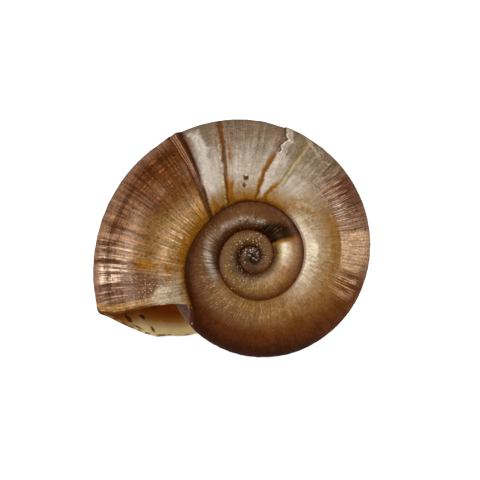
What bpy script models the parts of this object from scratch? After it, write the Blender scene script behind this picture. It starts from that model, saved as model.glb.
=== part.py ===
"""A flat-coiled snail shell, one hollow solid, lying on its far side with its mouth open towards -Y.

Metres, +Z up. The coil axis is vertical. A place on the shell is given by two numbers: turn, which counts
whorls back from the lip (0 at the lip, -4 at the apex), and across, which runs over the section of a whorl
from its near seam (0) by the near crest (1), the outer edge (2) and the far crest (3) to its far seam (4).
The near side is the upper one. A seam, or suture, is the line where a whorl sits on the one before it.
"""

import functools
import math

import bmesh
import bpy

MM = 0.001

# Coil: radius of the outer edge and how it grows, per turn, as the powers of a logarithm
LIP_RADIUS = 17.74 * MM
GROWTH_RATE = 0.572
GROWTH_SLOWING = -0.028
GROWTH_OF_FIRST_WHORLS = 0.012
LIP_ANGLE = 199.7
TURNS = 4

# Bulb at the apex, where the first whorl opens out from the axis
BULB_TURNS = 0.35
BULB_HALF_HEIGHT = 0.1 * MM

# Section of a whorl, as shares of its outer radius or of its width
HALF_HEIGHT_SHARE = 0.33
NEAR_CREST_SHARE = 0.38
FAR_CREST_SHARE = 0.44
ROUNDNESS = 2.15
SEAM_LEAN = 16.0

# Height of the far crest above the ground: (turn, height). The last half turn lies on the ground
FAR_CREST_HEIGHT = [
    (-4.0, 5.9 * MM),
    (-3.0, 5.2 * MM),
    (-2.0, 4.0 * MM),
    (-1.5, 2.9 * MM),
    (-1.0, 1.35 * MM),
    (-0.75, 0.45 * MM),
    (-0.5, 0.0),
    (0.0, 0.0),
]

# Where a whorl sits on the one before it: (turn, share of that one's outer radius)
NEAR_SEAM_SHARE = [
    (-4.0, 0.84),
    (-1.5, 0.82),
    (-1.1, 0.8),
    (-0.8, 0.87),
    (-0.55, 0.85),
    (-0.3, 0.76),
    (-0.15, 0.7),
    (-0.02, 0.78),
    (0.07, 0.84),
]
FAR_SEAM_SHARE = 0.8

# Lip: how far each part of its edge runs ahead of its outer edge: (across, degrees)
LIP_ADVANCE = [
    (0.0, 19.0),
    (0.5, 11.5),
    (1.0, 6.0),
    (1.5, 2.6),
    (2.0, 0.0),
    (2.5, 6.2),
    (3.0, 23.5),
    (3.5, 35.5),
    (4.0, 40.0),
]
ADVANCE_DEGREES = 150.0
SMOOTH_OUT_DEGREES = 110.0

# Wall, and how far the hollow runs back from the lip
WALL_SHARE = 0.032
LIP_WALL = 0.3 * MM
LIP_THINNING_DEGREES = 20.0
HOLLOW_TURNS = 1.5
HOLLOW_END_DEPTH = 1.5 * MM

# Raised rib across the last whorl, left where growth once stopped
RIB_DEGREES = -77.5
RIB_HALF_WIDTH = 2.2
RIB_HEIGHT = 0.16 * MM

# Facets: rows along a turn, with more beside the rib, and columns over a section
ROW_DEGREES = 9.0
NEAR_COLUMNS = 8
MIDDLE_SHARES = [0.0, 0.1, 0.3, 0.5, 0.7, 0.9, 1.0]
FAR_COLUMNS = 7
FULL_TURN = 360.0

SHELL_COLOUR = (0.27, 0.13, 0.05, 1.0)
SHELL_ROUGHNESS = 0.38


def blend(a, b, share):
    return a + (b - a) * share


def clamp(value, low=0.0, high=1.0):
    return max(low, min(high, value))


def through(knots, x):
    """A smooth curve through the knots, read at x and level past both ends."""
    if x <= knots[0][0]:
        return knots[0][1]
    if x >= knots[-1][0]:
        return knots[-1][1]
    i = max(n for n, knot in enumerate(knots) if knot[0] <= x)
    (x0, y0), (x1, y1) = knots[i], knots[i + 1]
    before = knots[max(i - 1, 0)]
    after = knots[min(i + 2, len(knots) - 1)]
    span = x1 - x0
    slope0 = (y1 - before[1]) / (x1 - before[0]) * span
    slope1 = (after[1] - y0) / (after[0] - x0) * span
    t = (x - x0) / span
    return (
        y0 * (2 * t**3 - 3 * t**2 + 1)
        + slope0 * (t**3 - 2 * t**2 + t)
        + y1 * (3 * t**2 - 2 * t**3)
        + slope1 * (t**3 - t**2)
    )


def outer_radius(turn):
    """Distance from the coil axis to the outer edge of the whorl."""
    log = GROWTH_RATE * turn + GROWTH_SLOWING * turn**2 + GROWTH_OF_FIRST_WHORLS * turn**3
    opened = clamp((turn + TURNS) / BULB_TURNS)
    return LIP_RADIUS * math.exp(log) * math.sin(opened * math.pi / 2) ** 0.7


def half_height(turn):
    return math.hypot(HALF_HEIGHT_SHARE * outer_radius(turn), BULB_HALF_HEIGHT)


def middle_height(turn):
    return through(FAR_CREST_HEIGHT, turn) + half_height(turn)


def apex(side):
    """The end of the coil axis on the near (1) or far (-1) side."""
    return 0.0, middle_height(-TURNS) + side * BULB_HALF_HEIGHT


def seam_across(turn, side):
    """Where the next whorl's seam crosses the section at this turn."""
    radius = outer_radius(turn)
    crest = crest_radius(turn, side)
    share = through(NEAR_SEAM_SHARE, turn + 1) if side > 0 else FAR_SEAM_SHARE
    reach = clamp((share * radius - crest) / max(radius - crest, 1e-9), 0.02, 0.98)
    angle = math.degrees(math.asin(reach ** (ROUNDNESS / 2)))
    return 2 - side * (1 - angle / 90)


@functools.cache
def seam(turn, side):
    """Radius and height of this whorl's own seam, which lies on the whorl before it."""
    inner = turn - 1
    if inner <= -TURNS:
        return apex(side)
    return section_point(inner, seam_across(inner, side))


def crest_radius(turn, side):
    share = NEAR_CREST_SHARE if side > 0 else FAR_CREST_SHARE
    return blend(seam(turn, side)[0], outer_radius(turn), share)


def section_point(turn, across):
    """Radius and height of a point on the outer face of a whorl, without its relief."""
    side = 1 if across <= 2 else -1
    past_seam = 2 - abs(across - 2)
    radius, middle = outer_radius(turn), middle_height(turn)
    crest = crest_radius(turn, side)
    crest_height = middle + side * half_height(turn)
    if past_seam < 1:
        seam_radius, seam_height = seam(turn, side)
        lean = math.radians(SEAM_LEAN)
        angle = blend(lean, math.pi / 2, past_seam)
        rise = (math.sin(angle) - math.sin(lean)) / (1 - math.sin(lean))
        return (
            blend(crest, seam_radius, math.cos(angle) / math.cos(lean)),
            blend(seam_height, crest_height, rise),
        )
    angle = (past_seam - 1) * math.pi / 2
    power = 2 / ROUNDNESS
    return (
        blend(crest, radius, math.sin(angle) ** power),
        blend(middle, crest_height, max(math.cos(angle), 0.0) ** power),
    )


def outward(turn, across):
    """The section's outward direction, as radius and height."""
    step = 0.02
    r0, z0 = section_point(turn, max(across - step, 0.0))
    r1, z1 = section_point(turn, min(across + step, 4.0))
    length = max(math.hypot(r1 - r0, z1 - z0), 1e-12)
    return (z0 - z1) / length, (r1 - r0) / length


def rib(growth, across):
    """Height of the rib, which fades out at both seams."""
    off = clamp(abs(growth - RIB_DEGREES) / RIB_HALF_WIDTH)
    fade = clamp(min(across, 4 - across) / 0.6)
    return RIB_HEIGHT * (1 - off) * fade


def wall(turn):
    """Thickness of the wall, which thins towards the lip."""
    full = WALL_SHARE * outer_radius(turn)
    return blend(LIP_WALL, full, clamp(-turn * FULL_TURN / LIP_THINNING_DEGREES))


def rows_of_one_turn():
    """Growth angles of the rows in one turn, from -360 up to but without 0."""
    count = round(FULL_TURN / ROW_DEGREES)
    rows = {-FULL_TURN + n * ROW_DEGREES for n in range(count)}
    rows = {r for r in rows if abs(r - RIB_DEGREES) > RIB_HALF_WIDTH + 1}
    rows |= {RIB_DEGREES - RIB_HALF_WIDTH, RIB_DEGREES, RIB_DEGREES + RIB_HALF_WIDTH}
    return sorted(rows)


class ShellMesh:
    """The vertices and faces of the shell. Row r of one turn and row r of the next share their seams."""

    def __init__(self):
        one_turn = rows_of_one_turn()
        self.per_turn = len(one_turn)
        self.growth = [
            angle - FULL_TURN * turns_back
            for turns_back in range(TURNS - 1, -1, -1)
            for angle in one_turn
        ] + [0.0]
        self.last = len(self.growth) - 1
        self.near = NEAR_COLUMNS
        self.far = NEAR_COLUMNS + len(MIDDLE_SHARES) - 1
        self.columns = self.far + FAR_COLUMNS
        hollow_start = -HOLLOW_TURNS * FULL_TURN
        self.hollow_row = min(n for n, g in enumerate(self.growth) if g >= hollow_start)
        self.bm = bmesh.new()
        self.apexes = {side: self.vertex(0.0, *apex(side)) for side in (1, -1)}
        self.outer = {}
        self.inner = {}

    def vertex(self, degrees, radius, height):
        angle = math.radians(LIP_ANGLE + degrees)
        return self.bm.verts.new((radius * math.cos(angle), radius * math.sin(angle), height))

    def across(self, turn, column):
        """The place of a column on the section: the seams of the next whorl fall on two of the columns."""
        near_seam, far_seam = seam_across(turn, 1), seam_across(turn, -1)
        if column <= self.near:
            return near_seam * column / self.near
        if column <= self.far:
            return blend(near_seam, far_seam, MIDDLE_SHARES[column - self.near])
        return blend(far_seam, 4.0, (column - self.far) / FAR_COLUMNS)

    def lean(self, row, column):
        """Degrees by which a vertex runs ahead of its row, so that the last row is the lip."""
        growth = self.growth[row]
        if growth > -ADVANCE_DEGREES:
            ahead = through(LIP_ADVANCE, self.across(growth / FULL_TURN, column))
            return ahead * (1 + growth / ADVANCE_DEGREES)
        along = growth + FULL_TURN
        if along <= -ADVANCE_DEGREES or along >= SMOOTH_OUT_DEGREES:
            return 0.0
        ramp = 1 + along / ADVANCE_DEGREES if along < 0 else 1 - along / SMOOTH_OUT_DEGREES
        near_end, far_end = LIP_ADVANCE[0][1], LIP_ADVANCE[-1][1]
        if column <= self.near:
            ahead = near_end * column / self.near
        elif column <= self.far:
            ahead = blend(near_end, far_end, (column - self.near) / (self.far - self.near))
        else:
            ahead = far_end * (self.columns - column) / FAR_COLUMNS
        return ahead * ramp

    def make_vertices(self):
        for row in range(self.last + 1):
            for column in range(self.columns + 1):
                self.outer[row, column] = self.outer_vertex(row, column)
            if row >= self.hollow_row:
                for column in range(self.columns + 1):
                    self.inner[row, column] = self.inner_vertex(row, column)

    def place(self, row, column):
        """Degrees, turn and across of a vertex."""
        degrees = self.growth[row] + self.lean(row, column)
        turn = degrees / FULL_TURN
        return degrees, turn, self.across(turn, column)

    def outer_vertex(self, row, column):
        """A vertex of the outer face. The two on the seams belong to the whorl before."""
        side = 1 if column <= self.near else -1
        if row == 0 or (row <= self.per_turn and column in (0, self.columns)):
            return self.apexes[side]
        if column == 0:
            return self.outer[row - self.per_turn, self.near]
        if column == self.columns:
            return self.outer[row - self.per_turn, self.far]
        degrees, turn, across = self.place(row, column)
        radius, height = section_point(turn, across)
        out_r, out_z = outward(turn, across)
        raised = rib(self.growth[row], across)
        return self.vertex(degrees, radius + out_r * raised, height + out_z * raised)

    def inner_vertex(self, row, column):
        """A vertex of the hollow's face. At the seams it stands on the whorl before."""
        if column == 0:
            return self.outer[row - self.per_turn, self.near + 1]
        if column == self.columns:
            return self.outer[row - self.per_turn, self.far - 1]
        degrees, turn, across = self.place(row, column)
        radius, height = section_point(turn, across)
        out_r, out_z = outward(turn, across)
        thickness = wall(turn)
        return self.vertex(degrees, radius - out_r * thickness, height - out_z * thickness)

    def face(self, *corners):
        kept = [v for n, v in enumerate(corners) if v is not corners[n - 1]]
        if len(set(kept)) >= 3:
            self.bm.faces.new(kept)

    def covered(self, row, column):
        """Whether the next whorl, its wall or its filled part, hides this face."""
        above = row + self.per_turn
        if above >= self.last or not self.near <= column < self.far:
            return False
        return above < self.hollow_row or column in (self.near, self.far - 1)

    def make_outer_faces(self):
        for row in range(self.last):
            for column in range(self.columns):
                if not self.covered(row, column):
                    a, b = self.outer[row, column], self.outer[row, column + 1]
                    c, d = self.outer[row + 1, column + 1], self.outer[row + 1, column]
                    self.face(a, b, c, d)

    def make_inner_faces(self):
        for row in range(self.hollow_row, self.last):
            for column in range(self.columns):
                a, b = self.inner[row, column], self.inner[row, column + 1]
                c, d = self.inner[row + 1, column + 1], self.inner[row + 1, column]
                self.face(d, c, b, a)

    def make_lip(self):
        row = self.last
        for column in range(self.columns):
            a, b = self.outer[row, column], self.outer[row, column + 1]
            c, d = self.inner[row, column + 1], self.inner[row, column]
            self.face(a, b, c, d)

    def close_hollow(self):
        """The blind end of the hollow: a low cone onto the wall's face and the whorl before."""
        row = self.hollow_row
        loop = [self.inner[row, column] for column in range(self.columns + 1)]
        before = row - self.per_turn
        loop += [self.outer[before, column] for column in range(self.far - 2, self.near + 1, -1)]
        centre = sum((v.co for v in loop), loop[0].co * 0) / len(loop)
        angle = math.radians(LIP_ANGLE + self.growth[row])
        centre.x += math.sin(angle) * HOLLOW_END_DEPTH
        centre.y -= math.cos(angle) * HOLLOW_END_DEPTH
        tip = self.bm.verts.new(centre)
        for n, corner in enumerate(loop):
            self.face(loop[n - 1], corner, tip)

    def centre_on_footprint(self):
        """Puts the origin at the middle of the footprint, on the ground."""
        spans = [[v.co[axis] for v in self.bm.verts] for axis in range(3)]
        shift = [
            -(min(spans[0]) + max(spans[0])) / 2,
            -(min(spans[1]) + max(spans[1])) / 2,
            -min(spans[2]),
        ]
        bmesh.ops.translate(self.bm, verts=self.bm.verts, vec=shift)

    def build(self):
        self.make_vertices()
        self.make_outer_faces()
        self.make_inner_faces()
        self.make_lip()
        self.close_hollow()
        loose = [v for v in self.bm.verts if not v.link_faces]
        bmesh.ops.delete(self.bm, geom=loose, context="VERTS")
        bmesh.ops.recalc_face_normals(self.bm, faces=self.bm.faces)
        self.centre_on_footprint()
        mesh = bpy.data.meshes.new("shell")
        self.bm.to_mesh(mesh)
        self.bm.free()
        return mesh


def shell_material():
    material = bpy.data.materials.new("brown_shell")
    material.use_nodes = True
    surface = material.node_tree.nodes["Principled BSDF"]
    surface.inputs["Base Color"].default_value = SHELL_COLOUR
    surface.inputs["Roughness"].default_value = SHELL_ROUGHNESS
    surface.inputs["Metallic"].default_value = 0.0
    return material


def clear_scene():
    for item in list(bpy.data.objects):
        bpy.data.objects.remove(item)


def main():
    clear_scene()
    mesh = ShellMesh().build()
    mesh.shade_smooth()
    mesh.set_sharp_from_angle(angle=math.radians(50))
    mesh.materials.append(shell_material())
    shell = bpy.data.objects.new("shell", mesh)
    bpy.context.scene.collection.objects.link(shell)


main()
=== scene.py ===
"""A brown, banded, flat-coiled snail shell seen straight from above its near side.

A place on the shell has three numbers. turn counts whorls back from the lip: 0 at the lip, -4 at the apex.
across runs over the section of a whorl from its near seam (0) by the near crest (1), the outer edge (2) and
the far crest (3) to its far seam (4). band is the same place as the eye sees it from above: 0 at the near
seam, 1 at the outer edge, 2 at the far seam. The colours follow band and back, the degrees back from the lip.
The last whorl, the inner whorls and the lining of the mouth have a paint each.
"""

import functools
import math

import bpy
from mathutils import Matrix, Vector, noise

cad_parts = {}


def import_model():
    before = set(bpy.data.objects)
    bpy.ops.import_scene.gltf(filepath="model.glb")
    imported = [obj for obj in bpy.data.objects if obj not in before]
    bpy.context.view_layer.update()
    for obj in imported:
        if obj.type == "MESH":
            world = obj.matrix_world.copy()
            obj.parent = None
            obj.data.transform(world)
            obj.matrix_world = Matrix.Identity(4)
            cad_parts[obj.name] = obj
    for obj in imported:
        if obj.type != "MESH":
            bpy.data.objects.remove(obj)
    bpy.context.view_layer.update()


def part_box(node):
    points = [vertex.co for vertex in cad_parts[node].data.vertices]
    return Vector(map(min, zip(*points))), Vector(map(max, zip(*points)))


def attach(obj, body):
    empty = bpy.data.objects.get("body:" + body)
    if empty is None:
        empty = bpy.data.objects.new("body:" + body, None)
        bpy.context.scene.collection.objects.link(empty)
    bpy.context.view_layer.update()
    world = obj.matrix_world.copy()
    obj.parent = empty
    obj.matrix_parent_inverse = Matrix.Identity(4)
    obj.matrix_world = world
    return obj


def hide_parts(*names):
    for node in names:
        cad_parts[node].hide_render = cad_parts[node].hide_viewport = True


MM = 0.001
FULL_TURN = 360.0

# Photograph: pixels across, and the pixel at the middle of the shell's outline, which is 278 pixels wide
IMAGE_SIZE = 480
SHELL_WIDTH_PIXELS = 278.0
SHELL_MIDDLE_PIXEL = (232.0, 238.5)

# Coil, as in the source of the solid
LIP_RADIUS = 17.74 * MM
GROWTH_RATE = 0.572
GROWTH_SLOWING = -0.028
GROWTH_OF_FIRST_WHORLS = 0.012
LIP_ANGLE = 199.7
TURNS = 4
BULB_TURNS = 0.35
BULB_HALF_HEIGHT = 0.1 * MM
HALF_HEIGHT_SHARE = 0.33
NEAR_CREST_SHARE = 0.38
FAR_CREST_SHARE = 0.44
ROUNDNESS = 2.15
SEAM_LEAN = 16.0
FAR_CREST_HEIGHT = [
    (-4.0, 5.9 * MM),
    (-3.0, 5.2 * MM),
    (-2.0, 4.0 * MM),
    (-1.5, 2.9 * MM),
    (-1.0, 1.35 * MM),
    (-0.75, 0.45 * MM),
    (-0.5, 0.0),
    (0.0, 0.0),
]
NEAR_SEAM_SHARE = [
    (-4.0, 0.84),
    (-1.5, 0.82),
    (-1.1, 0.8),
    (-0.8, 0.87),
    (-0.55, 0.85),
    (-0.3, 0.76),
    (-0.15, 0.7),
    (-0.02, 0.78),
    (0.07, 0.84),
]
FAR_SEAM_SHARE = 0.8
LIP_ADVANCE = [
    (0.0, 19.0),
    (0.5, 11.5),
    (1.0, 6.0),
    (1.5, 2.6),
    (2.0, 0.0),
    (2.5, 6.2),
    (3.0, 23.5),
    (3.5, 35.5),
    (4.0, 40.0),
]
ADVANCE_DEGREES = 150.0
SMOOTH_OUT_DEGREES = 110.0
WALL_SHARE = 0.032
LIP_WALL = 0.3 * MM
LIP_THINNING_DEGREES = 20.0
HOLLOW_TURNS = 1.0
HOLLOW_END_DEPTH = 1.5 * MM
CALLUS_DEGREES = 9.0

# Mesh: rows along a turn, columns over a section
ROWS_PER_TURN = 440
NEAR_COLUMNS = 20
MIDDLE_COLUMNS = 16
FIRST_MIDDLE_SHARE = 0.1
FAR_COLUMNS = 11
CREASE_DEGREES = 50.0
LAST_WHORL, INNER_WHORLS, LINING = range(3)
INNER_WHORLS_FROM = 322.0

# Relief on the outer face
LINE_CURVE = 10.0
RIB_BACK = 77.7
RIB_LEAN = 15.0
RIB_HALF_WIDTH = 1.5
RIB_HEIGHT = 0.2 * MM
RIB_WANDER = 0.5
SECOND_RIB_GAP = 3.4
SECOND_RIB_HEIGHT = 0.11 * MM
RIDGE_HEIGHT = 0.045 * MM
RIDGE_DEGREES = 3.2
FINE_RIDGE_HEIGHT = 0.02 * MM
FINE_RIDGE_DEGREES = 1.7
DENT_HEIGHT = 0.05 * MM
DENT_SIZE = 3.0 * MM
RIBLET_HEIGHT = 0.04 * MM
RIBLET_DEGREES = 25.7
RIBLETS_FROM_BACK = 960.0
FLAKE_BACK = 124.0
FLAKE_HEIGHT = 0.09 * MM
FLAKE_BAND = 0.66
FLAKE_BULGE = 1.9
FLAKE_BULGE_BAND = 0.86
FLAKE_BULGE_WIDTH = 0.07
FLAKE_JAGS = [(0.4, 47.0), (0.25, 83.0), (0.1, 171.0)]
LIP_CHIP_DEGREES = 0.55
LIP_CHIP_REACH = 8.0
LIP_ROLL_HEIGHT = 0.09 * MM
LIP_ROLL_DEGREES = 1.3
RIM_ROUNDING = 0.12 * MM

# View and light
CAMERA_HEIGHT = 450 * MM
SENSOR_WIDTH = 36.0
OUTLINE_HEIGHT = 5.9 * MM
FLOOR_SIZE = 1.2
FLOOR_COLOUR = (0.93, 0.93, 0.92, 1.0)
FLOOR_ROUGHNESS = 0.6
FLOOR_GLOW = 0.7
ROOM_GLOW = 0.06

# Lights, aimed at the middle: name, place, width and height, power, whether the shell mirrors it
LIGHTS = [
    ("left_box", (-0.29, 0.08, 0.30), (0.13, 0.2), 1.08, True),
    ("right_box", (0.29, 0.10, 0.30), (0.13, 0.2), 0.89, True),
    ("front_box", (-0.05, -0.32, 0.16), (0.3, 0.12), 0.38, False),
]

# Finish, with the scales of the noises in cells per metre
CLOUD_SCALE = 420
BLOTCH_SCALE = 500
BORDER_SCALE = 900
MOTTLE_SCALE = 1300
GRAIN_SCALE = 4200
ROUGHNESS = 0.22
COAT_ROUGHNESS = 0.08
BUMP_DEPTH = 0.06 * MM


def blend(a, b, share):
    return a + (b - a) * share


def clamp(value, low=0.0, high=1.0):
    return max(low, min(high, value))


def smooth_step(value, low, high):
    share = clamp((value - low) / (high - low))
    return share * share * (3 - 2 * share)


def through(knots, x):
    """A smooth curve through the knots, read at x and level past both ends."""
    if x <= knots[0][0]:
        return knots[0][1]
    if x >= knots[-1][0]:
        return knots[-1][1]
    i = max(n for n, knot in enumerate(knots) if knot[0] <= x)
    (x0, y0), (x1, y1) = knots[i], knots[i + 1]
    before = knots[max(i - 1, 0)]
    after = knots[min(i + 2, len(knots) - 1)]
    span = x1 - x0
    slope0 = (y1 - before[1]) / (x1 - before[0]) * span
    slope1 = (after[1] - y0) / (after[0] - x0) * span
    t = (x - x0) / span
    return (
        y0 * (2 * t**3 - 3 * t**2 + 1)
        + slope0 * (t**3 - 2 * t**2 + t)
        + y1 * (3 * t**2 - 2 * t**3)
        + slope1 * (t**3 - t**2)
    )


def outer_radius(turn):
    """Distance from the coil axis to the outer edge of the whorl."""
    log = GROWTH_RATE * turn + GROWTH_SLOWING * turn**2 + GROWTH_OF_FIRST_WHORLS * turn**3
    opened = clamp((turn + TURNS) / BULB_TURNS)
    return LIP_RADIUS * math.exp(log) * math.sin(opened * math.pi / 2) ** 0.7


def half_height(turn):
    return math.hypot(HALF_HEIGHT_SHARE * outer_radius(turn), BULB_HALF_HEIGHT)


def middle_height(turn):
    return through(FAR_CREST_HEIGHT, turn) + half_height(turn)


def apex(side):
    """The end of the coil axis on the near (1) or far (-1) side."""
    return 0.0, middle_height(-TURNS) + side * BULB_HALF_HEIGHT


@functools.cache
def seam_across(turn, side):
    """Where the next whorl's seam crosses the section at this turn."""
    radius = outer_radius(turn)
    crest = crest_radius(turn, side)
    share = through(NEAR_SEAM_SHARE, turn + 1) if side > 0 else FAR_SEAM_SHARE
    reach = clamp((share * radius - crest) / max(radius - crest, 1e-9), 0.02, 0.98)
    angle = math.degrees(math.asin(reach ** (ROUNDNESS / 2)))
    return 2 - side * (1 - angle / 90)


@functools.cache
def seam(turn, side):
    """Radius and height of this whorl's own seam, which lies on the whorl before it."""
    inner = turn - 1
    if inner <= -TURNS:
        return apex(side)
    return section_point(inner, seam_across(inner, side))


def crest_radius(turn, side):
    share = NEAR_CREST_SHARE if side > 0 else FAR_CREST_SHARE
    return blend(seam(turn, side)[0], outer_radius(turn), share)


def section_point(turn, across):
    """Radius and height of a point on the outer face of a whorl, without its relief."""
    side = 1 if across <= 2 else -1
    past_seam = 2 - abs(across - 2)
    radius, middle = outer_radius(turn), middle_height(turn)
    crest = crest_radius(turn, side)
    crest_height = middle + side * half_height(turn)
    if past_seam < 1:
        seam_radius, seam_height = seam(turn, side)
        lean = math.radians(SEAM_LEAN)
        angle = blend(lean, math.pi / 2, past_seam)
        rise = (math.sin(angle) - math.sin(lean)) / (1 - math.sin(lean))
        return (
            blend(crest, seam_radius, math.cos(angle) / math.cos(lean)),
            blend(seam_height, crest_height, rise),
        )
    angle = (past_seam - 1) * math.pi / 2
    power = 2 / ROUNDNESS
    return (
        blend(crest, radius, math.sin(angle) ** power),
        blend(middle, crest_height, max(math.cos(angle), 0.0) ** power),
    )


def outward(turn, across):
    """The section's outward direction, as radius and height."""
    step = 0.02
    r0, z0 = section_point(turn, max(across - step, 0.0))
    r1, z1 = section_point(turn, min(across + step, 4.0))
    length = max(math.hypot(r1 - r0, z1 - z0), 1e-12)
    return (z0 - z1) / length, (r1 - r0) / length


def band_at(turn, across):
    side = 1 if across <= 2 else -1
    inner = seam(turn, side)[0]
    width = max(outer_radius(turn) - inner, 1e-9)
    share = clamp((section_point(turn, across)[0] - inner) / width)
    return share if side > 0 else 2 - share


def wall(turn):
    """Thickness of the wall, which thins towards the lip."""
    full = WALL_SHARE * outer_radius(turn)
    return blend(LIP_WALL, full, clamp(-turn * FULL_TURN / LIP_THINNING_DEGREES))


def growth_line(back, band):
    """Back, along growth lines that curve away near the seam."""
    return back + LINE_CURVE * (1 - band) ** 2


def ridge_noise(x, y, layer):
    return noise.noise(Vector((x, y, layer)))


def crack_back(band):
    """Where the flake's jagged edge runs."""
    bulge = FLAKE_BULGE * math.exp(-(((band - FLAKE_BULGE_BAND) / FLAKE_BULGE_WIDTH) ** 2))
    return FLAKE_BACK + bulge + sum(size * math.sin(rate * band) for size, rate in FLAKE_JAGS)


def relief(back, lip, band, across, turn, spot):
    """Height of the outer face's relief: growth ridges, dents, ribs, the flake and the lip's roll."""
    size = outer_radius(turn) / LIP_RADIUS
    from_edge = abs(1 - band)
    line = growth_line(back, band)
    height = RIDGE_HEIGHT * ridge_noise(line / RIDGE_DEGREES, across * 0.5, 1.0)
    height += FINE_RIDGE_HEIGHT * ridge_noise(line / FINE_RIDGE_DEGREES, across * 0.9, 5.0)
    height += DENT_HEIGHT * noise.noise(spot / DENT_SIZE)
    height *= size
    rib_back = RIB_BACK - RIB_LEAN * from_edge**3
    wander = RIB_WANDER * ridge_noise(across * 3, 0.0, 9.0)
    off = (back - rib_back + wander) / RIB_HALF_WIDTH
    height += RIB_HEIGHT * math.exp(-(off**2))
    off = (back - rib_back + SECOND_RIB_GAP + wander) / (RIB_HALF_WIDTH * 0.8)
    height += SECOND_RIB_HEIGHT * math.exp(-(off**2))
    crack = crack_back(band)
    past_edge = smooth_step(back, crack - 1.0, crack)
    flake_end = 1 - smooth_step(back, FLAKE_BACK + 5, FLAKE_BACK + 14)
    on_flake = smooth_step(band, FLAKE_BAND - 0.06, FLAKE_BAND) * (1 - smooth_step(band, 1.0, 1.2))
    height -= FLAKE_HEIGHT * (1 - past_edge) * on_flake * smooth_step(back, FLAKE_BACK - 9, FLAKE_BACK - 2)
    height += 0.5 * FLAKE_HEIGHT * past_edge * flake_end * on_flake
    riblet = (0.5 + 0.5 * math.cos(math.tau * line / RIBLET_DEGREES)) ** 3
    height += RIBLET_HEIGHT * riblet * smooth_step(back, RIBLETS_FROM_BACK, RIBLETS_FROM_BACK + 100)
    roll = math.exp(-(((lip - LIP_ROLL_DEGREES) / LIP_ROLL_DEGREES) ** 2))
    height += LIP_ROLL_HEIGHT * roll * smooth_step(1 - from_edge, 0.2, 0.6)
    fade = smooth_step(min(across, 4 - across), 0.0, 0.25)
    return height * fade


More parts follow.
